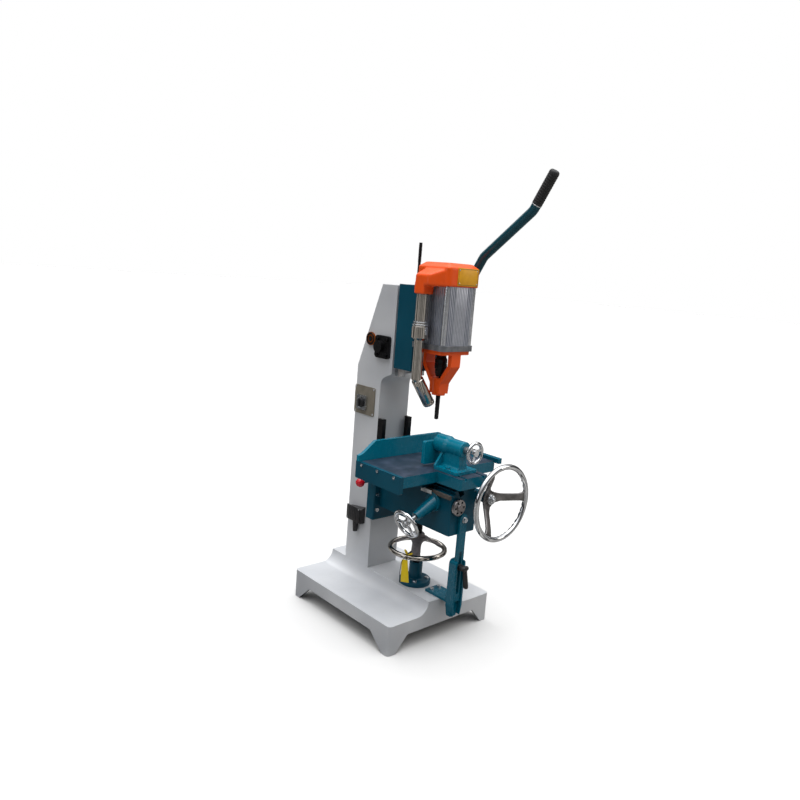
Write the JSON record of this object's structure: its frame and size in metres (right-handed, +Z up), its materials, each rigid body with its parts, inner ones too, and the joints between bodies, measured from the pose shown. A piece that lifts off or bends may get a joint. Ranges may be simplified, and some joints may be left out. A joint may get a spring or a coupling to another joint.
{
  "type": "pedestal hollow chisel mortiser",
  "caption": "Floor-standing square-chisel mortiser: cast column and base, lever-fed motor head, and a clamp table on a knee that rises, slides and traverses by hand wheels.",
  "frame": {"origin": "on the floor, under the middle of the machine's overall box", "axes": "+Z up, +X to the operator's right, -Y towards the operator"},
  "size_m": [0.45, 0.7026, 1.4695],
  "materials": {
    "black_grip": "moulded black plastic",
    "black_oxide": "blackened steel",
    "black_plastic": "black moulded plastic",
    "bronze": "aged bronze",
    "brown_strip": "browned spring steel",
    "chrome_plate": "polished chrome plating",
    "fan_plastic": "black moulded plastic",
    "grey_plate": "satin grey-beige plate",
    "ground_steel": "ground steel, oiled",
    "motor_alloy": "blue-grey painted alloy fins",
    "orange_enamel": "glossy orange enamel",
    "red_ball": "glossy red phenolic plastic",
    "slate_enamel": "dark blue-green enamel",
    "teal_enamel": "glossy deep teal enamel",
    "white_enamel": "glossy white-grey enamel on cast iron"
  },
  "bodies": {
    "root": {"base_casting": "white_enamel", "column_casting": "white_enamel", "guide_rails": "black_oxide", "head_ways": "ground_steel", "screw_pedestal": "teal_enamel", "base_bolts": "ground_steel", "switch_plate": "grey_plate", "switch_bezel": "black_plastic", "inlet_box": "black_plastic", "shaft_flange_left": "black_oxide", "shaft_flange_right": "black_oxide", "bronze_cap": "bronze", "brace_channel": "teal_enamel"},
    "head": {"head_slide": "slate_enamel", "feed_rack": "ground_steel", "motor_housing": "motor_alloy", "motor_base_plate": "grey_plate", "motor_cap": "orange_enamel", "duct_upper": "chrome_plate", "duct_coupling": "chrome_plate", "duct_lower": "chrome_plate", "chisel_yoke": "orange_enamel", "hollow_chisel": "black_oxide", "depth_rod": "black_oxide"},
    "spindle": {"motor_rotor": "ground_steel", "cooling_fan": "fan_plastic", "drill_chuck": "black_oxide", "auger_bit": "black_oxide"},
    "feed": {"pinion_shaft": "ground_steel", "feed_lever": "teal_enamel", "lever_grip": "black_grip"},
    "knee": {"knee_casting": "slate_enamel", "way_strip": "brown_strip", "cross_feed_housing": "teal_enamel", "brace_bar": "teal_enamel", "knee_bolts": "ground_steel"},
    "lift": {"elevating_screw": "black_oxide", "elevating_wheel": "chrome_plate"},
    "saddle": {"cross_slide": "slate_enamel", "cross_rack": "ground_steel", "traverse_bearing": "teal_enamel"},
    "cross_drive": {"cross_shaft": "ground_steel", "cross_wheel": "chrome_plate"},
    "table": {"table_casting": "teal_enamel", "table_fence": "teal_enamel", "side_apron": "teal_enamel", "apron_screws": "ground_steel", "traverse_rack": "ground_steel", "clamp_body": "teal_enamel"},
    "jaw": {"clamp_ram": "ground_steel"},
    "clamp_drive": {"clamp_screw": "ground_steel", "clamp_wheel": "chrome_plate"},
    "idler": {"idler_gear": "ground_steel"},
    "traverse": {"traverse_shaft": "ground_steel", "traverse_wheel": "chrome_plate"},
    "lock": {"lock_plunger": "chrome_plate", "lock_ball": "red_ball"},
    "cross_lock": {"cross_lock_knob": "chrome_plate"},
    "brace_clamp": {"brace_lever": "black_grip"},
    "switch": {"switch_knob": "black_plastic"}
  },
  "joints": [
    {"name": "head_slide", "type": "slide", "parent": "root", "child": "head", "axis": [0, 0, 1], "range_m": [-0.08, 0]},
    {"name": "feed_lever", "type": "hinge", "parent": "root", "child": "feed", "pos_m": [0, 0.1538, 0.908], "axis": [1, 0, 0], "range_deg": [0, 76.39]},
    {"name": "spindle_spin", "type": "hinge", "parent": "head", "child": "spindle", "pos_m": [0, -0.0567, 0.9], "axis": [0, 0, 1], "continuous": true},
    {"name": "lift_wheel", "type": "hinge", "parent": "knee", "child": "lift", "pos_m": [0, -0.0212, 0.3], "axis": [0, 0, 1], "range_deg": [-2880, 5760]},
    {"name": "knee_slide", "type": "slide", "parent": "root", "child": "knee", "axis": [0, 0, 1], "range_m": [-0.0401, 0.0801]},
    {"name": "cross_slide", "type": "slide", "parent": "knee", "child": "saddle", "axis": [0, 1, 0], "range_m": [-0.09, 0.02]},
    {"name": "cross_wheel", "type": "hinge", "parent": "knee", "child": "cross_drive", "pos_m": [-0.0585, -0.1362, 0.462], "axis": [0.9063, 0, 0.4226], "range_deg": [-95.5, 429.73]},
    {"name": "table_slide", "type": "slide", "parent": "saddle", "child": "table", "axis": [1, 0, 0], "range_m": [-0.1, 0.1]},
    {"name": "idler_turn", "type": "hinge", "parent": "saddle", "child": "idler", "pos_m": [0.1055, -0.1152, 0.5], "axis": [0, 1, 0], "range_deg": [-286.5, 286.5]},
    {"name": "traverse_wheel", "type": "hinge", "parent": "saddle", "child": "traverse", "pos_m": [0.078, -0.2482, 0.48], "axis": [0, 1, 0], "range_deg": [-409.3, 409.3]},
    {"name": "clamp_wheel", "type": "hinge", "parent": "table", "child": "clamp_drive", "pos_m": [0, -0.2322, 0.633], "axis": [0, 1, 0], "range_deg": [0, 4320]},
    {"name": "jaw_slide", "type": "slide", "parent": "table", "child": "jaw", "axis": [0, 1, 0], "range_m": [0, 0.0601]},
    {"name": "lock_pull", "type": "slide", "parent": "knee", "child": "lock", "axis": [-1, 0, 0], "range_m": [0, 0.008], "stiffness_N_per_m": 600, "springref_m": -0.004},
    {"name": "cross_lock_turn", "type": "hinge", "parent": "knee", "child": "cross_lock", "pos_m": [-0.034, -0.2082, 0.463], "axis": [0, -1, 0], "range_deg": [0, 90]},
    {"name": "brace_lever_turn", "type": "hinge", "parent": "root", "child": "brace_clamp", "pos_m": [-0.005, -0.2182, 0.265], "axis": [0, -1, 0], "range_deg": [0, 60]},
    {"name": "switch_turn", "type": "hinge", "parent": "root", "child": "switch", "pos_m": [-0.075, 0.2338, 0.708], "axis": [-1, 0, 0], "range_deg": [0, 90]}
  ],
  "couplings": [
    {"joint": "feed_lever", "follows": "head_slide", "rad_per_m": -16.667},
    {"joint": "knee_slide", "follows": "lift_wheel", "m_per_rad": 0.00079577},
    {"joint": "cross_wheel", "follows": "cross_slide", "rad_per_m": -83.333},
    {"joint": "idler_turn", "follows": "table_slide", "rad_per_m": 50},
    {"joint": "traverse_wheel", "follows": "table_slide", "rad_per_m": -71.429},
    {"joint": "jaw_slide", "follows": "clamp_wheel", "m_per_rad": 0.00079577}
  ]
}
